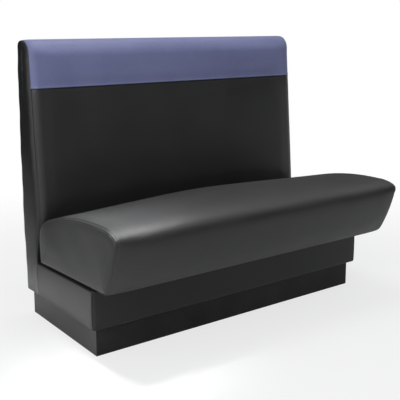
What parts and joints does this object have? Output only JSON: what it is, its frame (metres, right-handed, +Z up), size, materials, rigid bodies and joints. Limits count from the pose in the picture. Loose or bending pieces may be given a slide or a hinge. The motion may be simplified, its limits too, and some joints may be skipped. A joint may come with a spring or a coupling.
{
  "type": "restaurant booth seating",
  "caption": "Upholstered restaurant booth bench with a tall padded back, a rounded head band, a lift-off spring seat and a recessed kick base.",
  "frame": {"origin": "on the floor, under the middle of the bench's outer box", "axes": "+X along the bench, to the sitter's left; +Y to the rear, towards the wall; +Z up"},
  "size_m": [1.326, 0.735, 1.067],
  "materials": {
    "plywood": "matte",
    "softwood": "matte",
    "black_laminate": "satin",
    "foam": "matte",
    "black_vinyl": "satin",
    "band_vinyl": "satin",
    "spring_felt": "matte",
    "dust_cloth": "matte",
    "spring_steel": "satin",
    "zinc_plated_steel": "satin"
  },
  "bodies": {
    "booth": {"apron_front_cover": "black_vinyl", "apron_front_pad": "foam", "apron_left_cover": "black_vinyl", "apron_left_pad": "foam", "apron_right_cover": "black_vinyl", "apron_right_pad": "foam", "back_bolts": "zinc_plated_steel", "back_front_cover": "black_vinyl", "back_front_foam": "foam", "back_front_panel": "plywood", "back_head_rail": "softwood", "back_inner_uprights": "plywood", "back_left_end_cover": "black_vinyl", "back_left_end_pad": "foam", "back_left_upright": "plywood", "back_lumbar_rail": "softwood", "back_rear_cover": "black_vinyl", "back_rear_panel": "plywood", "back_rear_rails": "softwood", "back_right_end_cover": "black_vinyl", "back_right_end_pad": "foam", "back_right_upright": "plywood", "back_seat_rail": "softwood", "bolt_nuts": "zinc_plated_steel", "bolt_washers": "zinc_plated_steel", "box_corner_blocks": "softwood", "box_cross_boards": "plywood", "box_floor_panel": "plywood", "box_front_board": "plywood", "box_left_board": "plywood", "box_rear_rail": "softwood", "box_right_board": "plywood", "floor_panel_screws": "zinc_plated_steel", "head_band_cover": "band_vinyl", "head_foam": "foam", "kick_corner_blocks": "softwood", "kick_cross_boards": "plywood", "kick_front_board": "plywood", "kick_front_facing": "black_laminate", "kick_left_board": "plywood", "kick_left_facing": "black_laminate", "kick_rear_board": "plywood", "kick_right_board": "plywood", "kick_right_facing": "black_laminate"},
    "seat": {"seat_battens": "softwood", "seat_cross_rails": "softwood", "seat_dust_cover": "dust_cloth", "seat_foam": "foam", "seat_front_rail": "softwood", "seat_left_end_cover": "black_vinyl", "seat_left_rail": "softwood", "seat_locating_blocks": "softwood", "seat_rear_rail": "softwood", "seat_right_end_cover": "black_vinyl", "seat_right_rail": "softwood", "seat_springs": "spring_steel", "seat_top_cover": "black_vinyl", "spring_clips": "spring_steel", "spring_pad": "spring_felt"}
  },
  "joints": [
    {"name": "seat_lift", "type": "slide", "parent": "booth", "child": "seat", "axis": [0, 0, 1], "range_m": [0, 0.2]}
  ]
}
